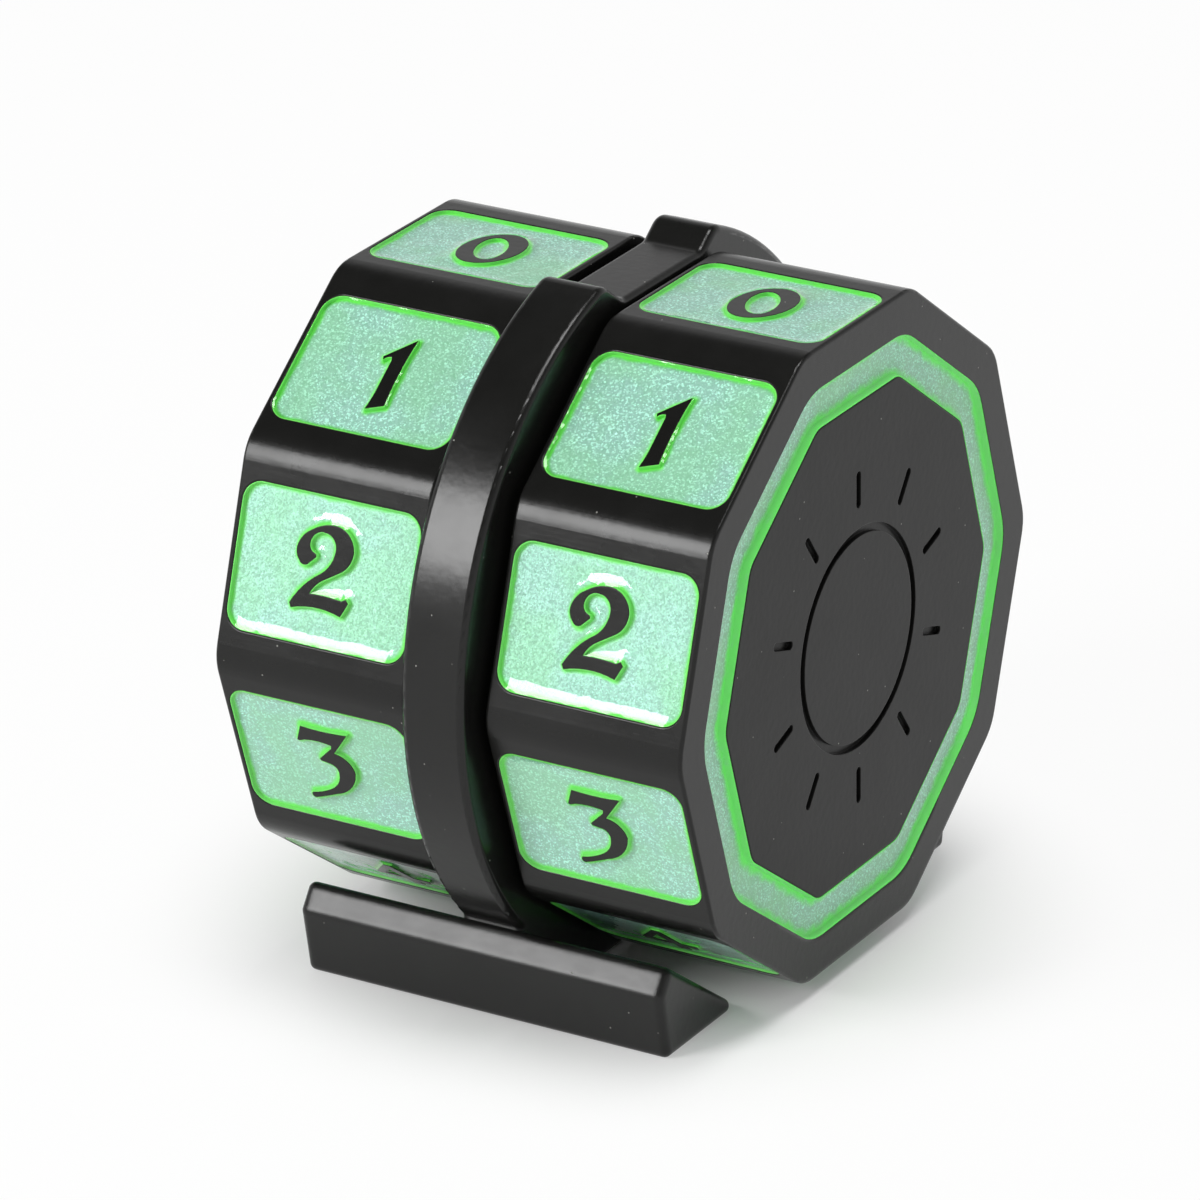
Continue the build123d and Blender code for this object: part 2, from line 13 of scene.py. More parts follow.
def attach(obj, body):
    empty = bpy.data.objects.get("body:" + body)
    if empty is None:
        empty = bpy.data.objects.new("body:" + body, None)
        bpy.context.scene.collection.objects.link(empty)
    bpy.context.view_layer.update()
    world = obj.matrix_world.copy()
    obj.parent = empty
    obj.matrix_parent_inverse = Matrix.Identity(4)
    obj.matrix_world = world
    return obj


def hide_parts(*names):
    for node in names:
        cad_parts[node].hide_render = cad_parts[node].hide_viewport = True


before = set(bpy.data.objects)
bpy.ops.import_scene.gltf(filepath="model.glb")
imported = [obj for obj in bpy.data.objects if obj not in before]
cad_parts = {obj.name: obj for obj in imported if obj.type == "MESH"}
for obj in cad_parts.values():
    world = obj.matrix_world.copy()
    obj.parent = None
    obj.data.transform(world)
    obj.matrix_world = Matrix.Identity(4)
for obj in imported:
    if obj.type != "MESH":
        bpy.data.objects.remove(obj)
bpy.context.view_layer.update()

MM = 0.001


# The stand
# Hoop, web, hub and both foot bars are one zinc casting, tumbled to soften its edges and then
# sprayed and baked satin black. The dials' shells and caps get the same coat, from the same gun.

COAT_BLACK = "#131312"
COAT_WORN = "#1A1A19"
COAT_DUST = "#8C8C86"
COAT_DULLING = 0.07
ORANGE_PEEL = 0.5
PEEL_HEIGHT = 0.014
PEEL_STRENGTH = 0.5
SCUFF_WIDTH = 0.16
SCUFF_STRETCH = 25
CLOUDING = 4.0
DUST_SPACING = 1.3
DUST_SHARE = 0.045
PIT_DEPTH = 1.2
EDGE_SOFTNESS = 0.07
FOOT_SOFTNESS = 0.4
FOOT_TOP = 5.9
FOOT_FADE = 0.59
EDGE_RAYS = 6
NOISE_SPREAD = (0.3, 0.7)  # most of a noise's values lie between these


def linear(colour):
    """An sRGB hex colour as Blender's linear RGBA."""
    shares = [int(colour[i:i + 2], 16) / 255 for i in (1, 3, 5)]
    return [s / 12.92 if s <= 0.04045 else ((s + 0.055) / 1.055) ** 2.4 for s in shares] + [1.0]


def per_metre(size):
    """The scale at which a pattern repeats at that size in millimetres."""
    return 1 / (size * MM)


def add_node(tree, kind, settings=None, inputs=None):
    """Adds a node. Settings are its properties. Each input is a value, or the output it is linked to."""
    node = tree.nodes.new(kind)
    for name, value in (settings or {}).items():
        setattr(node, name, value)
    for name, value in (inputs or {}).items():
        if isinstance(value, bpy.types.NodeSocket):
            tree.links.new(value, node.inputs[name])
        else:
            node.inputs[name].default_value = value
    return node


def start_material(name):
    """A material with its Principled shader, and the Object coordinates that its patterns lie in."""
    material = bpy.data.materials.new(name)
    material.use_nodes = True
    tree = material.node_tree
    place = add_node(tree, "ShaderNodeTexCoord").outputs["Object"]
    return material, tree, tree.nodes["Principled BSDF"], place


def set_inputs(node, values):
    """Sets a node's own sockets to plain values."""
    for name, value in values.items():
        node.inputs[name].default_value = value


def baked_black_coat(name, roughness, index, scuffing):
    """Sprayed and baked satin black on zinc: a dark dielectric, with a faint orange peel that breaks up the
    reflections, soft clouds where the coat is thicker, fine scuffs along the axle where fingers turn the
    dials, and a few specks of dust that leave pits. The feet's edges are worn rounder than the rest."""
    material, tree, shader, place = start_material(name)
    clouds = add_node(tree, "ShaderNodeTexNoise", {}, {
        "Vector": place, "Scale": per_metre(CLOUDING), "Detail": 4.0, "Roughness": 0.6})
    peel = add_node(tree, "ShaderNodeTexNoise", {}, {
        "Vector": place, "Scale": per_metre(ORANGE_PEEL), "Detail": 1.0, "Roughness": 0.5})
    dust = add_node(tree, "ShaderNodeTexVoronoi", {}, {
        "Vector": place, "Scale": per_metre(DUST_SPACING), "Randomness": 1.0})
    speck = add_node(tree, "ShaderNodeMapRange", {}, {
        "Value": dust.outputs["Distance"], "From Min": DUST_SHARE, "From Max": DUST_SHARE / 2})
    tone = add_node(tree, "ShaderNodeMix", {"data_type": "RGBA"}, {
        0: clouds.outputs["Fac"], 6: linear(COAT_BLACK), 7: linear(COAT_WORN)})
    dusted = add_node(tree, "ShaderNodeMix", {"data_type": "RGBA"}, {
        0: speck.outputs["Result"], 6: tone.outputs[2], 7: linear(COAT_DUST)})
    satin = add_node(tree, "ShaderNodeMapRange", {}, {
        "Value": clouds.outputs["Fac"], "From Min": NOISE_SPREAD[0], "From Max": NOISE_SPREAD[1],
        "To Min": roughness, "To Max": roughness + COAT_DULLING})
    height = add_node(tree, "ShaderNodeSeparateXYZ", {}, {"Vector": place})
    wear = add_node(tree, "ShaderNodeMapRange", {}, {
        "Value": height.outputs["Z"], "From Min": FOOT_TOP * MM, "From Max": (FOOT_TOP + FOOT_FADE) * MM,
        "To Min": FOOT_SOFTNESS * MM, "To Max": EDGE_SOFTNESS * MM})
    rounded = add_node(tree, "ShaderNodeBevel", {"samples": EDGE_RAYS}, {"Radius": wear.outputs["Result"]})
    along_axle = add_node(tree, "ShaderNodeMapping", {}, {
        "Vector": place, "Scale": (1 / SCUFF_STRETCH, 1.0, 1.0)})
    scuffs = add_node(tree, "ShaderNodeTexNoise", {}, {
        "Vector": along_axle.outputs["Vector"], "Scale": per_metre(SCUFF_WIDTH), "Detail": 2.0})
    scuffed = add_node(tree, "ShaderNodeMath", {"operation": "MULTIPLY_ADD"}, {
        0: scuffs.outputs["Fac"], 1: scuffing, 2: peel.outputs["Fac"]})
    pitted = add_node(tree, "ShaderNodeMath", {"operation": "MULTIPLY_ADD"}, {
        0: speck.outputs["Result"], 1: -PIT_DEPTH, 2: scuffed.outputs["Value"]})
    bump = add_node(tree, "ShaderNodeBump", {}, {
        "Strength": PEEL_STRENGTH, "Distance": PEEL_HEIGHT * MM, "Height": pitted.outputs["Value"],
        "Normal": rounded.outputs["Normal"]})
    tree.links.new(dusted.outputs[2], shader.inputs["Base Color"])
    tree.links.new(satin.outputs["Result"], shader.inputs["Roughness"])
    tree.links.new(bump.outputs["Normal"], shader.inputs["Normal"])
    set_inputs(shader, {"IOR": index})
    return material


def finish_node(name, material):
    """Gives a CAD piece its finish and smooth shading. Its faces share no corners, so edges stay crisp."""
    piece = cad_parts[name]
    piece.data.materials.clear()
    piece.data.materials.append(material)
    piece.data.polygons.foreach_set("use_smooth", [True] * len(piece.data.polygons))
    piece.data.update()


casting_coat = baked_black_coat("baked_black_coat", roughness=0.2, index=1.38, scuffing=0.1)
finish_node("stand_frame", casting_coat)


# The running gear
# A turned steel axle pressed into the stand's hub, flanged brass bushings that turn on it, and plain
# steel washers, dished springs and screws that hold the dials on. Oiled, and hidden in the dials.

TURNED_STEEL = "#B4B2AC"
OILED_STEEL = "#8B877F"
BUSHING_BRASS = "#D9B565"
BRASS_TARNISH = "#A97F3A"
TOOL_MARK_PITCH = 0.08
TOOL_MARK_HEIGHT = 0.004
TOOL_MARK_WANDER = 0.6
MARK_STRENGTH = 0.3
OIL_PATCH = 1.6
OIL_DULLING = 0.12


def turned_metal(name, bright, dull, roughness):
    """Metal turned on a lathe: fine rings round the axle, and an oil film that dulls it in patches."""
    material, tree, shader, place = start_material(name)
    rings = add_node(tree, "ShaderNodeTexWave", {"wave_type": "BANDS", "bands_direction": "X"}, {
        "Vector": place, "Scale": per_metre(TOOL_MARK_PITCH) / (2 * math.pi),
        "Distortion": TOOL_MARK_WANDER, "Detail": 2.0})
    film = add_node(tree, "ShaderNodeTexNoise", {}, {
        "Vector": place, "Scale": per_metre(OIL_PATCH), "Detail": 4.0, "Roughness": 0.6})
    tone = add_node(tree, "ShaderNodeMix", {"data_type": "RGBA"}, {
        0: film.outputs["Fac"], 6: linear(bright), 7: linear(dull)})
    polish = add_node(tree, "ShaderNodeMapRange", {}, {
        "Value": film.outputs["Fac"], "From Min": NOISE_SPREAD[0], "From Max": NOISE_SPREAD[1],
        "To Min": roughness, "To Max": roughness + OIL_DULLING})
    bump = add_node(tree, "ShaderNodeBump", {}, {
        "Strength": MARK_STRENGTH, "Distance": TOOL_MARK_HEIGHT * MM, "Height": rings.outputs["Fac"]})
    tree.links.new(tone.outputs[2], shader.inputs["Base Color"])
    tree.links.new(polish.outputs["Result"], shader.inputs["Roughness"])
    tree.links.new(bump.outputs["Normal"], shader.inputs["Normal"])
    set_inputs(shader, {"Metallic": 1.0})
    return material


turned_steel = turned_metal("turned_steel", TURNED_STEEL, OILED_STEEL, roughness=0.24)
turned_brass = turned_metal("turned_brass", BUSHING_BRASS, BRASS_TARNISH, roughness=0.22)
for name in ("axle", "ones_thrust_washer", "tens_thrust_washer", "retaining_washers", "retaining_screws"):
    finish_node(name, turned_steel)
for name in ("ones_bushing", "tens_bushing"):
    finish_node(name, turned_brass)


# The springs
# Dished washers that take up the dials' end play, and the click strips: hardened spring steel, rolled
# flat, blued by its heat treatment and riveted to the web, with a bump that drops into the dial's grooves.

SPRING_BLUE = "#4A4E58"
SPRING_STRAW = "#6E675C"
SPRING_ROUGHNESS = 0.32
ROLLING_STREAK = 0.25
STREAK_STRETCH = 12.5
STREAK_HEIGHT = 0.004


def blued_spring_steel():
    """Rolled and blued spring steel: blue-grey with straw, in long faint streaks the way it was rolled."""
    material, tree, shader, place = start_material("blued_spring_steel")
    drawn_out = add_node(tree, "ShaderNodeMapping", {}, {
        "Vector": place, "Scale": (1.0, 1 / STREAK_STRETCH, 1.0)})
    streaks = add_node(tree, "ShaderNodeTexNoise", {}, {
        "Vector": drawn_out.outputs["Vector"], "Scale": per_metre(ROLLING_STREAK), "Detail": 3.0})
    tone = add_node(tree, "ShaderNodeMix", {"data_type": "RGBA"}, {
        0: streaks.outputs["Fac"], 6: linear(SPRING_BLUE), 7: linear(SPRING_STRAW)})
    bump = add_node(tree, "ShaderNodeBump", {}, {
        "Strength": MARK_STRENGTH, "Distance": STREAK_HEIGHT * MM, "Height": streaks.outputs["Fac"]})
    tree.links.new(tone.outputs[2], shader.inputs["Base Color"])
    tree.links.new(bump.outputs["Normal"], shader.inputs["Normal"])
    set_inputs(shader, {"Metallic": 1.0, "Roughness": SPRING_ROUGHNESS})
    return material


spring_steel = blued_spring_steel()
for name in ("ones_disc_spring", "tens_disc_spring", "ones_click_spring", "tens_click_spring"):
    finish_node(name, spring_steel)
finish_node("spring_rivets", turned_steel)


# The dials
# A ten-sided zinc shell each, with a sunk panel in every flat and its numeral standing in it, and a cap
# that closes the end. The numerals are the casting itself, so they are as black as the rest. Fingers have
# scuffed the shells. The caps are blasted before they are coated, so they shine less.

handled_coat = baked_black_coat("handled_black_coat", roughness=0.2, index=1.35, scuffing=0.45)
blasted_coat = baked_black_coat("blasted_black_coat", roughness=0.28, index=1.26, scuffing=0.0)
for name in ("ones_dial_shell", "tens_dial_shell"):
    finish_node(name, handled_coat)
for name in ("ones_end_cap", "tens_end_cap"):
    finish_node(name, blasted_coat)


# The number panels
# Each panel is poured part of the way with green pearl enamel, whose flakes settle flat away from the
# walls and leave the bare green there, and then with clear tinted epoxy by the drop. The epoxy creeps up
# the walls and the numeral as it sets, so its skin is dished between them.

AXLE_HEIGHT = 20.1
DIAL_SIDES = 10
DIAL_MIDDLE = 8.8
FLAT_RADIUS = 19.0
PANEL_DEPTH = 1.0
FACING_OUT = 0.99
WELD = 0.001
SAME_PLACE = 1e-6
NEVER_LEVEL = 1e-12
RESIN_CENTRE_DROP = 0.175
RESIN_EDGE_DROP = 0.02
RESIN_CREEP = 0.95
RESIN_GRID = 0.17
RESIN_TINT = "#EFFCEC"
EPOXY_ROUGHNESS = 0.05
EPOXY_INDEX = 1.5
WAVE_SIZE = 1.5
WAVE_HEIGHT = 0.11
WAVE_STRENGTH = 0.6
PEARL_DEPTH = 0.38
PAINT = 0.05
PAINT_CLEAR = 0.005
PANEL_CREASE = 50
WALL_BAND = 0.26
WOBBLE_SIZE = 1.0
WOBBLE = 1.6
SETTLING = (0.9, 2.2)  # bands from a wall: the first flakes, and the full coat of them
ENAMEL_GREEN = "#7CE668"
ENAMEL_LIME = "#92CE9A"
PEARL_MINT = "#A2C3C7"
PEARL_ROUGHNESS = 0.38
PEARL_INDEX = 1.35
FLAKE_SIZE = 0.092
FLAKE_TILT = 0.3
FLAKE_MIRROR = 0.18
FLAKE_CYAN = "#D0FBFF"
FLAKE_DARK = "#82BEA8"
PAINTED_GLINT_FLAKES = (0.6, 1.0)  # which of the flakes' random shades are painted lighter cyan, a painted glint
PAINTED_SHADE_FLAKES = (0.5, 1.0)  # and which of them are painted darker, a painted shade
DARKENING = 0.35
DRIFT_SIZE = 5.0
THIN_PEARL = (0.42, 0.62)  # where the drift lets the enamel show through
THINNING = 0.35


def flat_frame(number, side_x):
    """A flat's middle and its directions: along the axle, up the numeral, and out of the flat."""
    turn = math.radians(360 / DIAL_SIDES * number)
    out = np.array((0.0, -math.sin(turn), math.cos(turn)))
    up = np.array((0.0, math.cos(turn), math.sin(turn)))
    middle = np.array((side_x, 0.0, AXLE_HEIGHT)) + FLAT_RADIUS * out
    return middle, np.array((1.0, 0.0, 0.0)), up, out


def panel_loops(number, middle_x):
    """The outlines of a panel's enamel, its edge and its numeral's, in the panel's own millimetres."""
    middle, along, up, out = flat_frame(number, middle_x)
    copy = bmesh.new()
    copy.from_mesh(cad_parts["ones_number_enamel"].data)
    bmesh.ops.remove_doubles(copy, verts=copy.verts, dist=WELD * MM)
    for face in list(copy.faces):
        centre = np.array(face.calc_center_median()) / MM - middle
        if np.dot(np.array(face.normal), out) < FACING_OUT or abs(np.dot(centre, out)) > PANEL_DEPTH / 2:
            copy.faces.remove(face)
    edges = [e for e in copy.edges if len(e.link_faces) == 1]
    loops = []
    while edges:
        edge = edges.pop()
        start, here = edge.verts
        loop = [start]
        while here != start:
            loop.append(here)
            edge = next(e for e in here.link_edges if e in edges)
            edges.remove(edge)
            here = edge.other_vert(here)
        flat = np.array([np.array(v.co) / MM - middle for v in loop])
        loops.append(np.stack([flat @ along, flat @ up], 1))
    copy.free()
    return loops


def inset(loop, amount):
    """A loop moved by that much towards the side that lies left of it."""
    before, after = np.roll(loop, 1, 0), np.roll(loop, -1, 0)
    first, second = loop - before, after - loop
    first /= np.linalg.norm(first, axis=1)[:, None]
    second /= np.linalg.norm(second, axis=1)[:, None]
    left = np.stack([-(first + second)[:, 1], (first + second)[:, 0]], 1)
    left /= np.linalg.norm(left, axis=1)[:, None]
    return loop + amount * left


def inside(points, loops):
    """Which points lie in the enamel: an odd number of outlines goes round them."""
    crossings = np.zeros(len(points), int)
    for loop in loops:
        a, b = loop, np.roll(loop, -1, 0)
        spans = (a[None, :, 1] > points[:, None, 1]) != (b[None, :, 1] > points[:, None, 1])
        rise = b[:, 1] - a[:, 1] + NEVER_LEVEL
        at = a[None, :, 0] + (points[:, None, 1] - a[None, :, 1]) / rise * (b - a)[None, :, 0]
        crossings += (spans & (points[:, None, 0] < at)).sum(1)
    return crossings % 2 == 1


def from_wall(points, loops):
    """How far each point lies from the nearest wall."""
    nearest = np.full(len(points), np.inf)
    for loop in loops:
        a, run = loop, np.roll(loop, -1, 0) - loop
        share = ((points[:, None] - a[None]) * run[None]).sum(2) / (run ** 2).sum(1)[None]
        gap = points[:, None] - (a[None] + np.clip(share, 0, 1)[..., None] * run[None])
        nearest = np.minimum(nearest, np.linalg.norm(gap, axis=2).min(1))
    return nearest


def filled(points, loops, ring):
    """Triangles over the area inside the loops, whose corners are the first points. Where a triangle has an
    edge of the rim, the side of the rim it lies on decides, because a thin one's middle can't be trusted."""
    whole_hull, keep_sources = 0, True
    result = delaunay_2d_cdt([Vector(p) for p in points], ring, [], whole_hull, SAME_PLACE, keep_sources)
    original = [min(sources) if sources else -1 for sources in result[3]]
    triangles = np.array([[original[i] for i in face] for face in result[2]])
    triangles = triangles[(triangles >= 0).all(1)]
    runs = triangles[:, [0, 1, 1, 2, 2, 0]].reshape(-1, 3, 2)
    codes = runs[..., 0] * len(points) + runs[..., 1]
    rim = np.array(ring)
    within = np.isin(codes, rim[:, 0] * len(points) + rim[:, 1]).any(1)
    without = np.isin(codes, rim[:, 1] * len(points) + rim[:, 0]).any(1)
    return triangles[within | (inside(points[triangles].mean(1), loops) & ~without)]


def pool_of(loops):
    """The layout of one pool: its points, how far each lies from a wall, its triangles and its rim."""
    divided = []
    for loop in loops:
        points = []
        for a, b in zip(loop, np.roll(loop, -1, 0)):
            steps = max(1, math.ceil(np.linalg.norm(b - a) / RESIN_GRID))
            points += [a + (b - a) * i / steps for i in range(steps)]
        points = np.array(points)
        others = [other for other in loops if other is not loop]
        round_enamel = not inside(points[:1], others)[0]
        area = np.cross(points, np.roll(points, -1, 0)).sum()
        divided.append(points if (area > 0) == round_enamel else points[::-1])
    rim, ring = np.concatenate(divided), []
    for points in divided:
        ring += [(len(ring) + i, len(ring) + (i + 1) % len(points)) for i in range(len(points))]
    low, high = rim.min(0), rim.max(0)
    row = RESIN_GRID * math.sqrt(3) / 2
    x, y = np.meshgrid(np.arange(low[0], high[0], RESIN_GRID), np.arange(low[1], high[1], row))
    x[1::2] += RESIN_GRID / 2
    grid = np.stack([x.ravel(), y.ravel()], 1)
    grid = grid[inside(grid, divided)]
    grid = grid[from_wall(grid, divided) > RESIN_GRID / 2]
    points = np.concatenate([rim, grid])
    return {
        "points": points,
        "rim": [inset(loop, 1.0) - loop for loop in divided],
        "ring": np.array(ring),
        "depth_from_wall": from_wall(points, divided),
        "top": filled(points, divided, ring),
        "bottom": filled(rim, divided, ring),
    }


def shifted(pool, amount):
    """The pool's points with its rim moved in by that much."""
    points = pool["points"].copy()
    towards = np.concatenate(pool["rim"])
    points[:len(towards)] += amount * towards
    return points


def resin_solid(pool):
    """The set resin of one pool: a dished skin, and sides and floor that lie within the paint."""
    points, rim = shifted(pool, PAINT / 2), len(np.concatenate(pool["rim"]))
    drop = RESIN_CENTRE_DROP - RESIN_EDGE_DROP
    run = np.clip(pool["depth_from_wall"] / RESIN_CREEP, 0, 1)
    skin = -RESIN_CENTRE_DROP + drop * (1 - run) ** 2
    floor = np.full(rim, -PEARL_DEPTH - PAINT / 2)
    places = np.concatenate([np.column_stack([points, skin]), np.column_stack([points[:rim], floor])])
    below = len(points)
    ring = pool["ring"]
    sides = np.column_stack([ring[:, ::-1], ring + below])
    faces = pool["top"].tolist() + (pool["bottom"][:, ::-1] + below).tolist() + sides.tolist()
    return places, faces, np.zeros(len(places))


def paint_solid(pool):
    """The coat of paint in one pool: its floor, and a thin wall up to the resin's edge."""
    inner, rim = shifted(pool, PAINT), len(np.concatenate(pool["rim"]))
    outer = shifted(pool, PAINT_CLEAR)[:rim]
    top = np.full(rim, -RESIN_EDGE_DROP - 2 * PAINT_CLEAR)
    places = np.concatenate([
        np.column_stack([inner, np.full(len(inner), -PEARL_DEPTH)]),
        np.column_stack([inner[:rim], top]),
        np.column_stack([outer, top]),
        np.column_stack([outer, np.full(rim, -PANEL_DEPTH + PAINT_CLEAR)]),
    ])
    ring = pool["ring"]
    levels = (0, len(inner), len(inner) + rim, len(inner) + 2 * rim)
    faces = pool["top"].tolist() + (pool["bottom"][:, ::-1] + levels[3]).tolist()
    for upper, lower in zip(levels[1:], levels):
        strip = np.column_stack([ring + lower, ring[:, ::-1] + upper])
        faces += strip[:, ::-1].tolist()
    bands = np.concatenate([pool["depth_from_wall"] / WALL_BAND, np.zeros(3 * rim)])
    return places, faces, bands


def lay_out(name, solids, side_x, material, body, node):
    """One piece of all ten panels' solids, set on their flats, that rides on the dial."""
    places, faces, bands_in, count = [], [], [], 0
    for number, (flat_places, flat_faces, bands) in enumerate(solids):
        middle, along, up, out = flat_frame(number, side_x)
        places.append(middle + flat_places @ np.stack([along, up, out]))
        faces += [[i + count for i in face] for face in flat_faces]
        bands_in.append(bands)
        count += len(flat_places)
    mesh = bpy.data.meshes.new(name)
    mesh.from_pydata((np.concatenate(places) * MM).tolist(), [], faces)
    mesh.attributes.new("bands_in", "FLOAT", "POINT").data.foreach_set(
        "value", np.concatenate(bands_in).astype(np.float32))
    mesh.materials.append(material)
    mesh.polygons.foreach_set("use_smooth", [True] * len(mesh.polygons))
    mesh.set_sharp_from_angle(angle=math.radians(PANEL_CREASE))
    mesh.validate()
    piece = bpy.data.objects.new(name, mesh)
    bpy.context.scene.collection.objects.link(piece)
    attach(piece, body)
    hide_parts(node)


def pearl_paint(name, green):
    """Bare green enamel on the walls and along them, and pearl flakes settled flat on the floor further in.
    The flakes are under a tenth of a millimetre across, and each catches the light its own way by its tilt.
    Some are also painted lighter cyan, a painted glint, and some darker, a painted shade."""
    material, tree, shader, place = start_material(name)
    bands = add_node(tree, "ShaderNodeAttribute", {"attribute_name": "bands_in"})
    wobble = add_node(tree, "ShaderNodeTexNoise", {}, {
        "Vector": place, "Scale": per_metre(WOBBLE_SIZE), "Detail": 3.0})
    edge = add_node(tree, "ShaderNodeMath", {"operation": "MULTIPLY_ADD"}, {
        0: wobble.outputs["Fac"], 1: WOBBLE, 2: bands.outputs["Fac"]})
    settled = add_node(tree, "ShaderNodeMapRange", {"interpolation_type": "SMOOTHSTEP"}, {
        "Value": edge.outputs["Value"], "From Min": SETTLING[0], "From Max": SETTLING[1]})
    flakes = add_node(tree, "ShaderNodeTexVoronoi", {}, {
        "Vector": place, "Scale": per_metre(FLAKE_SIZE), "Randomness": 1.0})
    split = add_node(tree, "ShaderNodeSeparateColor", {}, {"Color": flakes.outputs["Color"]})
    # Painted glints and shade: flakes picked at random are painted lighter cyan, and others darker, in the
    # base colour, besides the real glints from their tilt.
    painted_glints = add_node(tree, "ShaderNodeMapRange", {}, {
        "Value": split.outputs["Red"], "From Min": PAINTED_GLINT_FLAKES[0], "From Max": PAINTED_GLINT_FLAKES[1]})
    painted_flake_shade = add_node(tree, "ShaderNodeMapRange", {}, {
        "Value": split.outputs["Green"], "From Min": PAINTED_SHADE_FLAKES[0], "From Max": PAINTED_SHADE_FLAKES[1],
        "To Max": DARKENING})
    drift = add_node(tree, "ShaderNodeTexNoise", {}, {
        "Vector": place, "Scale": per_metre(DRIFT_SIZE), "Detail": 4.0})
    ground = add_node(tree, "ShaderNodeMix", {"data_type": "RGBA"}, {
        0: painted_flake_shade.outputs["Result"], 6: linear(PEARL_MINT), 7: linear(FLAKE_DARK)})
    painted_sparkle = add_node(tree, "ShaderNodeMix", {"data_type": "RGBA"}, {
        0: painted_glints.outputs["Result"], 6: ground.outputs[2], 7: linear(FLAKE_CYAN)})
    sparse = add_node(tree, "ShaderNodeMapRange", {"interpolation_type": "SMOOTHSTEP"}, {
        "Value": drift.outputs["Fac"], "From Min": THIN_PEARL[0], "From Max": THIN_PEARL[1],
        "To Max": THINNING})
    clouded = add_node(tree, "ShaderNodeMix", {"data_type": "RGBA"}, {
        0: sparse.outputs["Result"], 6: painted_sparkle.outputs[2], 7: linear(ENAMEL_LIME)})
    colour = add_node(tree, "ShaderNodeMix", {"data_type": "RGBA"}, {
        0: settled.outputs["Result"], 6: linear(green), 7: clouded.outputs[2]})
    tree.links.new(colour.outputs[2], shader.inputs["Base Color"])
    lean = add_node(tree, "ShaderNodeVectorMath", {"operation": "SUBTRACT"}, {
        0: flakes.outputs["Color"], 1: (0.5, 0.5, 0.5)})
    tilt = add_node(tree, "ShaderNodeMath", {"operation": "MULTIPLY"}, {
        0: settled.outputs["Result"], 1: FLAKE_TILT})
    leaned = add_node(tree, "ShaderNodeVectorMath", {"operation": "SCALE"}, {
        0: lean.outputs["Vector"], "Scale": tilt.outputs["Value"]})
    normal = add_node(tree, "ShaderNodeVectorMath", {"operation": "ADD"}, {
        0: leaned.outputs["Vector"], 1: add_node(tree, "ShaderNodeNewGeometry").outputs["Normal"]})
    unit = add_node(tree, "ShaderNodeVectorMath", {"operation": "NORMALIZE"}, {
        0: normal.outputs["Vector"]})
    mirror = add_node(tree, "ShaderNodeMath", {"operation": "MULTIPLY"}, {
        0: settled.outputs["Result"], 1: FLAKE_MIRROR})
    tree.links.new(unit.outputs["Vector"], shader.inputs["Normal"])
    tree.links.new(mirror.outputs["Value"], shader.inputs["Metallic"])
    set_inputs(shader, {
        "Roughness": PEARL_ROUGHNESS, "IOR": PEARL_INDEX, "Specular Tint": linear(FLAKE_CYAN)})
    return material


def clear_epoxy():
    """Clear epoxy, tinted green: glass-smooth, with a few slow waves. Lamps reach what lies under it."""
    material, tree, shader, place = start_material("clear_green_epoxy")
    waves = add_node(tree, "ShaderNodeTexNoise", {}, {
        "Vector": place, "Scale": per_metre(WAVE_SIZE), "Detail": 2.0})
    bump = add_node(tree, "ShaderNodeBump", {}, {
        "Strength": WAVE_STRENGTH, "Distance": WAVE_HEIGHT * MM, "Height": waves.outputs["Fac"]})
    tree.links.new(bump.outputs["Normal"], shader.inputs["Normal"])
    set_inputs(shader, {
        "Base Color": linear(RESIN_TINT), "Transmission Weight": 1.0,
        "Roughness": EPOXY_ROUGHNESS, "IOR": EPOXY_INDEX})
    seen = add_node(tree, "ShaderNodeLightPath")
    passed = add_node(tree, "ShaderNodeBsdfTransparent", {}, {"Color": linear(RESIN_TINT)})
    mixed = add_node(tree, "ShaderNodeMixShader", {}, {
        0: seen.outputs["Is Camera Ray"], 1: passed.outputs["BSDF"], 2: shader.outputs["BSDF"]})
    tree.links.new(mixed.outputs["Shader"], tree.nodes["Material Output"].inputs["Surface"])
    return material


panel_pearl = pearl_paint("panel_pearl_enamel", ENAMEL_GREEN)
epoxy = clear_epoxy()
pools = [pool_of(panel_loops(number, DIAL_MIDDLE)) for number in range(DIAL_SIDES)]
paint_solids = [paint_solid(pool) for pool in pools]
resin_solids = [resin_solid(pool) for pool in pools]
for dial, side in (("ones", 1), ("tens", -1)):
    node, body, middle = f"{dial}_number_enamel", f"{dial}_dial", side * DIAL_MIDDLE
    lay_out(f"{dial}_panel_paint", paint_solids, middle, panel_pearl, body, node)
    lay_out(f"{dial}_panel_resin", resin_solids, middle, epoxy, body, node)


# The end rings
# A sunk ring round each cap, painted and poured like the panels: a ten-sided path with rounded corners
# that one cross-section follows. The far wall shows through the resin as a bright green line.

RING_FLAT_RADIUS = 16.6
RING_WIDTH = 2.37
RING_DEPTH = 1.2
CAP_CORNER = 1.6
DIAL_OUTER = 15.0
RING_SKIN_DROP = 0.14
RING_BAND = 0.45
RING_GREEN = "#6CFF62"
RING_CREASE = 40
SKIN_REACH = 1.1  # drops below the dial's face that still count as the skin
CREEP_SHARE = 0.8
CORNER_STEPS = 12
SECTION_CUTS = 24


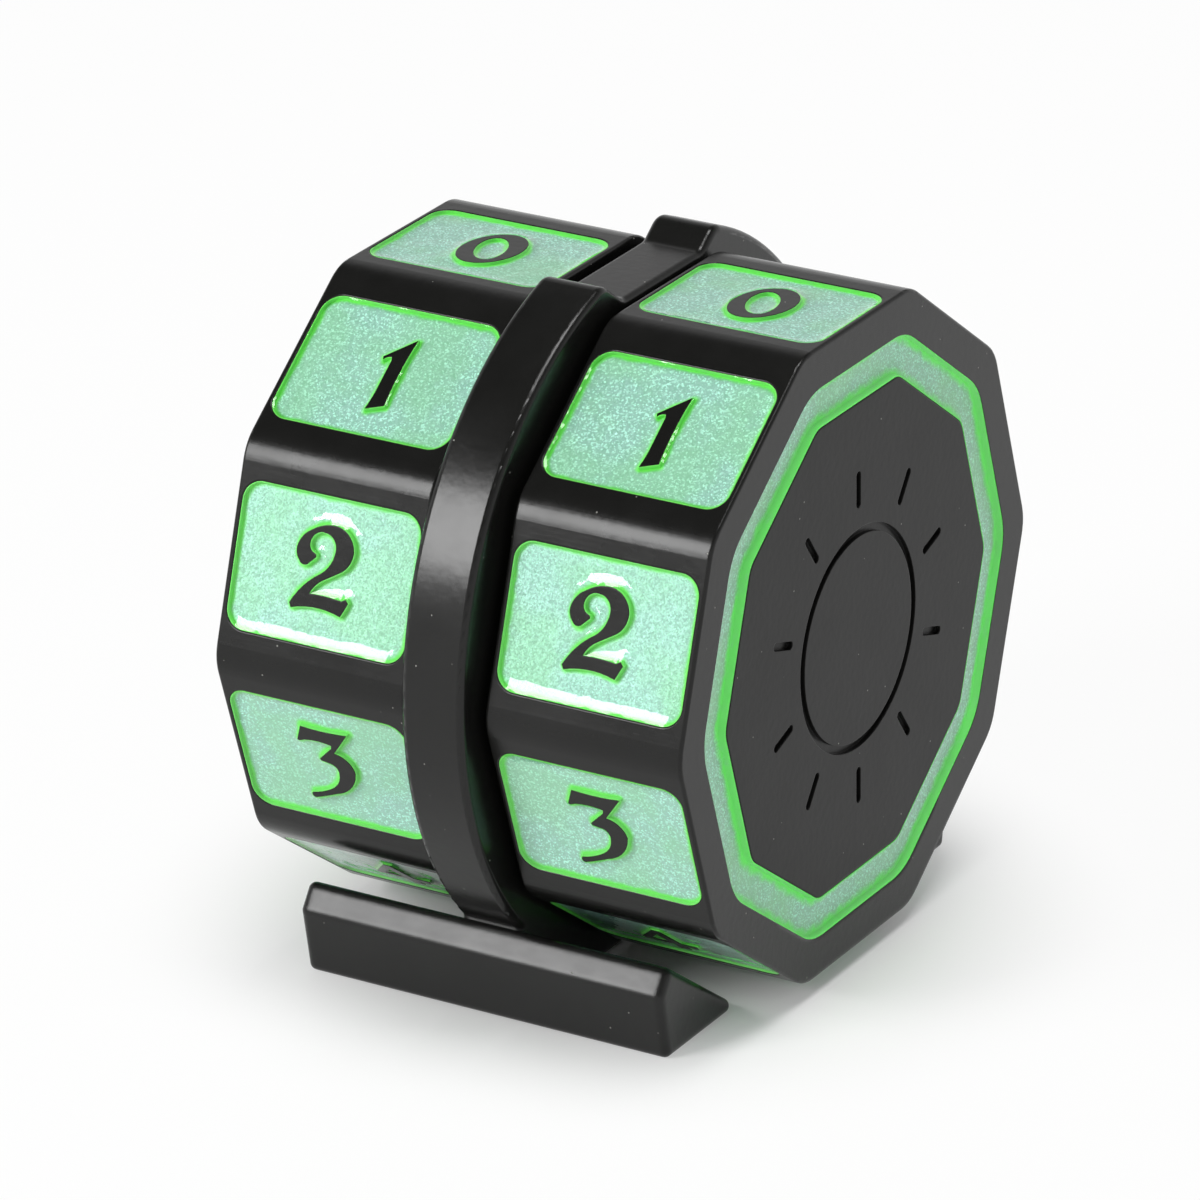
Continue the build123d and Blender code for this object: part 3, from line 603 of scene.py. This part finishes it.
def ring_tree():
    """A tree that sweeps the ring's cross-section, that of its paint or of its resin, round its path. Across
    the section runs x, and up from the dial's end face runs y."""
    tree = bpy.data.node_groups.new("poured_ring", "GeometryNodeTree")
    sizes = ("Flat Radius", "Width", "Depth", "Inner Corner", "Paint", "Skin Drop", "Creep", "Band")
    others = {"Turn": "Vector", "Place": "Vector", "Resin": "Bool", "Finish": "Material"}
    for name, kind in {**dict.fromkeys(sizes, "Float"), **others}.items():
        tree.interface.new_socket(name, in_out="INPUT", socket_type=f"NodeSocket{kind}")
    tree.interface.new_socket("Ring", in_out="OUTPUT", socket_type="NodeSocketGeometry")
    given = add_node(tree, "NodeGroupInput").outputs
    at = add_node(tree, "ShaderNodeSeparateXYZ", {}, {
        "Vector": add_node(tree, "GeometryNodeInputPosition").outputs["Position"]})

    # Each sum has a name, what it does, and its terms: numbers, inputs or sums above it.
    known = {size: given[size] for size in sizes}
    known.update({"x": at.outputs["X"], "y": at.outputs["Y"]})
    for name, operation, *terms in (
            ("half width", "MULTIPLY", "Width", 0.5),
            ("path middle", "SUBTRACT", "Flat Radius", "half width"),
            ("path radius", "DIVIDE", "path middle", math.cos(math.pi / DIAL_SIDES)),
            ("path corner", "ADD", "Inner Corner", "half width"),
            ("half paint", "MULTIPLY", "Paint", 0.5),
            ("floor", "SUBTRACT", "half paint", "Depth"),
            ("height", "SUBTRACT", "Depth", "Skin Drop"),
            ("half height", "MULTIPLY", "height", 0.5),
            ("wall middle", "SUBTRACT", "half height", "Depth"),
            ("outer wall", "SUBTRACT", "half width", "half paint"),
            ("inner wall", "MULTIPLY", "outer wall", -1.0),
            ("fill width", "SUBTRACT", "Width", "Paint"),
            ("fill height", "SUBTRACT", "height", "half paint"),
            ("fill lift", "MULTIPLY", "half paint", 0.5),
            ("fill middle", "ADD", "wall middle", "fill lift"),
            ("across", "ABSOLUTE", "x"),
            ("wall gap", "SUBTRACT", "half width", "across"),
            ("bands", "DIVIDE", "wall gap", "Band"),
            ("creeps", "DIVIDE", "wall gap", "Creep"),
            ("creeps back", "MULTIPLY", "creeps", -1.0),
            ("climb", "EXPONENT", "creeps back"),
            ("full lift", "MULTIPLY", "climb", "Skin Drop"),
            ("skin foot", "MULTIPLY", "Skin Drop", -SKIN_REACH),
            ("on skin", "GREATER_THAN", "y", "skin foot"),
            ("lift share", "MULTIPLY", "on skin", CREEP_SHARE),
            ("lift", "MULTIPLY", "full lift", "lift share")):
        inputs = {place: known.get(term, term) for place, term in enumerate(terms)}
        known[name] = add_node(tree, "ShaderNodeMath", {"operation": operation}, inputs).outputs[0]

    path = add_node(tree, "GeometryNodeCurvePrimitiveCircle", {}, {
        "Resolution": DIAL_SIDES, "Radius": known["path radius"]})
    rounded = add_node(tree, "GeometryNodeFilletCurve", {"mode": "POLY"}, {
        "Curve": path.outputs["Curve"], "Radius": known["path corner"], "Count": CORNER_STEPS})
    bars = []
    for width, height, across, up in (
            ("Width", "Paint", 0.0, "floor"),
            ("Paint", "height", "outer wall", "wall middle"),
            ("Paint", "height", "inner wall", "wall middle"),
            ("fill width", "fill height", 0.0, "fill middle")):
        bar = add_node(tree, "GeometryNodeCurvePrimitiveQuadrilateral", {}, {
            "Width": known[width], "Height": known[height]})
        move = add_node(tree, "ShaderNodeCombineXYZ", {}, {
            "X": known.get(across, across), "Y": known[up]})
        moved = add_node(tree, "GeometryNodeTransform", {}, {
            "Geometry": bar.outputs["Curve"], "Translation": move.outputs["Vector"]})
        bars.append(moved.outputs["Geometry"])
    coat = add_node(tree, "GeometryNodeJoinGeometry")
    for bar in bars[:-1]:
        tree.links.new(bar, coat.inputs["Geometry"])
    chosen = add_node(tree, "GeometryNodeSwitch", {"input_type": "GEOMETRY"}, {
        "Switch": given["Resin"], "False": coat.outputs["Geometry"], "True": bars[-1]})
    fine = add_node(tree, "GeometryNodeSubdivideCurve", {}, {
        "Curve": chosen.outputs["Output"], "Cuts": SECTION_CUTS})
    lift = add_node(tree, "ShaderNodeCombineXYZ", {}, {"Y": known["lift"]})
    crept = add_node(tree, "GeometryNodeSetPosition", {}, {
        "Geometry": fine.outputs["Curve"], "Offset": lift.outputs["Vector"]})
    marked = add_node(tree, "GeometryNodeStoreNamedAttribute", {"data_type": "FLOAT", "domain": "POINT"}, {
        "Geometry": crept.outputs["Geometry"], "Name": "bands_in", "Value": known["bands"]})
    upright = add_node(tree, "GeometryNodeTransform", {}, {
        "Geometry": marked.outputs["Geometry"], "Rotation": (0.0, 0.0, math.pi)})
    swept = add_node(tree, "GeometryNodeCurveToMesh", {}, {
        "Curve": rounded.outputs["Curve"], "Profile Curve": upright.outputs["Geometry"]})
    placed = add_node(tree, "GeometryNodeTransform", {}, {
        "Geometry": swept.outputs["Mesh"], "Rotation": given["Turn"], "Translation": given["Place"]})
    real = add_node(tree, "GeometryNodeRealizeInstances", {}, {"Geometry": placed.outputs["Geometry"]})
    dressed = add_node(tree, "GeometryNodeSetMaterial", {}, {
        "Geometry": real.outputs["Geometry"], "Material": given["Finish"]})
    add_node(tree, "NodeGroupOutput", {}, {"Ring": dressed.outputs["Geometry"]})
    return tree


def grown(name, tree, values):
    """The piece that a tree makes from those inputs, as a plain mesh."""
    piece = bpy.data.objects.new(name, bpy.data.meshes.new(name))
    bpy.context.scene.collection.objects.link(piece)
    modifier = piece.modifiers.new("grow", "NODES")
    modifier.node_group = tree
    for item in tree.interface.items_tree:
        if item.name in values:
            modifier[item.identifier] = values[item.name]
    ready = piece.evaluated_get(bpy.context.evaluated_depsgraph_get())
    mesh = bpy.data.meshes.new_from_object(ready)
    piece.modifiers.clear()
    piece.data = mesh
    mesh.polygons.foreach_set("use_smooth", [True] * len(mesh.polygons))
    mesh.set_sharp_from_angle(angle=math.radians(RING_CREASE))
    return piece


poured_ring = ring_tree()
ring_pearl = pearl_paint("ring_pearl_enamel", RING_GREEN)
for dial, side in (("ones", 1), ("tens", -1)):
    for layer, resin, material in (("paint", False, ring_pearl), ("resin", True, epoxy)):
        ring = grown(f"{dial}_ring_{layer}", poured_ring, {
            "Flat Radius": RING_FLAT_RADIUS * MM, "Width": RING_WIDTH * MM, "Depth": RING_DEPTH * MM,
            "Inner Corner": CAP_CORNER * MM, "Paint": PAINT * MM, "Skin Drop": RING_SKIN_DROP * MM,
            "Creep": RESIN_CREEP * MM, "Band": RING_BAND * MM,
            "Turn": (side * math.pi / 2, 0.0, math.pi / 2),
            "Place": (side * DIAL_OUTER * MM, 0.0, AXLE_HEIGHT * MM),
            "Resin": resin, "Finish": material})
        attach(ring, f"{dial}_dial")
        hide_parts(f"{dial}_ring_enamel")


# The table, the light and the camera
# A white table that runs off on all sides, a large soft box low in front on the left, another overhead, and
# a pale room behind under a dark ceiling. Away from the counter the table glows white for camera and mirror
# rays, a painted glow that lightens it and its shadow there. The camera looks down from the front right.

TABLE_WHITE = "#F0F0EF"
TABLE_ROUGHNESS = 0.5
TABLE_SPAN = 3000
TABLE_GLOW = (0.0, 0.9)  # how strongly the table glows white under the counter, and away from it: a painted glow
TABLE_CLEAR = (10, 30)  # how far from the middle that begins and ends
CAMERA_PLACE = (213.1, -358.51, 198.8)
CAMERA_RIGHT = (0.86033, 0.50958, -0.01230)
CAMERA_DOWN = (0.19172, -0.34587, -0.91849)
CAMERA_AHEAD = (-0.47230, 0.78784, -0.39526)
LENS = 239.64
SENSOR = 36
CLIP = (0.01, 20)
# How high a direction points, from level to straight up, and how bright the room is that way.
ROOM_SHADES = ((0.0, 1.0), (0.12, 0.95), (0.36, 0.66), (0.58, 0.45), (0.76, 0.03), (1.0, 0.0))

table_mesh = bpy.data.meshes.new("table")
half_span = TABLE_SPAN / 2 * MM
corners = [(x * half_span, y * half_span, 0) for x, y in ((-1, -1), (1, -1), (1, 1), (-1, 1))]
table_mesh.from_pydata(corners, [], [(0, 1, 2, 3)])
table = bpy.data.objects.new("table", table_mesh)
bpy.context.scene.collection.objects.link(table)
table_white, table_tree, table_shader, table_place = start_material("white_lacquered_table")
set_inputs(table_shader, {"Base Color": linear(TABLE_WHITE), "Roughness": TABLE_ROUGHNESS})
# A painted glow: white light given off by the table itself, seen by camera and mirror rays, that grows away
# from the counter and lightens the shadow there.
white_glow = add_node(table_tree, "ShaderNodeEmission", {}, {"Color": (1, 1, 1, 1), "Strength": 1.0})
table_rays = add_node(table_tree, "ShaderNodeLightPath")
off_centre = add_node(table_tree, "ShaderNodeVectorMath", {"operation": "LENGTH"}, {0: table_place})
glow_share = add_node(table_tree, "ShaderNodeMapRange", {"interpolation_type": "SMOOTHSTEP"}, {
    "Value": off_centre.outputs["Value"],
    "From Min": TABLE_CLEAR[0] * MM, "From Max": TABLE_CLEAR[1] * MM,
    "To Min": TABLE_GLOW[0], "To Max": TABLE_GLOW[1]})
mirrored = add_node(table_tree, "ShaderNodeMath", {"operation": "MAXIMUM"}, {
    0: table_rays.outputs["Is Glossy Ray"], 1: table_rays.outputs["Is Transmission Ray"]})
seen = add_node(table_tree, "ShaderNodeMath", {"operation": "MAXIMUM"}, {
    0: table_rays.outputs["Is Camera Ray"], 1: mirrored.outputs["Value"]})
painted_glow = add_node(table_tree, "ShaderNodeMath", {"operation": "MULTIPLY"}, {
    0: seen.outputs["Value"], 1: glow_share.outputs["Result"]})
glowing_table = add_node(table_tree, "ShaderNodeMixShader", {}, {
    0: painted_glow.outputs["Value"], 1: table_shader.outputs["BSDF"], 2: white_glow.outputs["Emission"]})
table_tree.links.new(glowing_table.outputs["Shader"], table_tree.nodes["Material Output"].inputs["Surface"])
table_mesh.materials.append(table_white)


def soft_box(name, place, size, power):
    """A soft box that faces the counter, with its place and size in metres and its power in watts."""
    lamp = bpy.data.lights.new(name, "AREA")
    lamp.shape, lamp.size, lamp.size_y, lamp.energy = "RECTANGLE", size[0], size[1], power
    box = bpy.data.objects.new(name, lamp)
    box.location = place
    towards = Vector((0, 0, AXLE_HEIGHT * MM)) - Vector(place)
    box.rotation_euler = towards.to_track_quat("-Z", "Y").to_euler()
    bpy.context.scene.collection.objects.link(box)


soft_box("key_box", place=(-0.318, -0.537, 0.350), size=(0.24, 0.28), power=3.1)
soft_box("top_box", place=(0.10, 0.04, 0.77), size=(0.30, 0.30), power=3.2)

world = bpy.data.worlds.new("pale_room")
world.use_nodes = True
room = world.node_tree
ahead = add_node(room, "ShaderNodeTexCoord").outputs["Generated"]
facing = add_node(room, "ShaderNodeSeparateXYZ", {}, {"Vector": ahead})
gradient = add_node(room, "ShaderNodeValToRGB", {}, {"Fac": facing.outputs["Z"]})
stops = gradient.color_ramp.elements
for height, _ in ROOM_SHADES[1:-1]:
    stops.new(height)
for stop, (height, shade) in zip(stops, ROOM_SHADES):
    stop.position, stop.color = height, (shade, shade, shade, 1.0)
room.links.new(gradient.outputs["Color"], room.nodes["Background"].inputs["Color"])
room.nodes["Background"].inputs["Strength"].default_value = 1.0
bpy.context.scene.world = world

lens = bpy.data.cameras.new("camera")
lens.lens = LENS
lens.sensor_width = SENSOR
lens.clip_start, lens.clip_end = CLIP
camera = bpy.data.objects.new("camera", lens)
axes = Matrix((CAMERA_RIGHT, [-v for v in CAMERA_DOWN], [-v for v in CAMERA_AHEAD])).transposed()
camera.matrix_world = Matrix.Translation([v * MM for v in CAMERA_PLACE]) @ axes.to_4x4()
bpy.context.scene.collection.objects.link(camera)
bpy.context.scene.camera = camera
bpy.context.scene.view_settings.view_transform = "Standard"
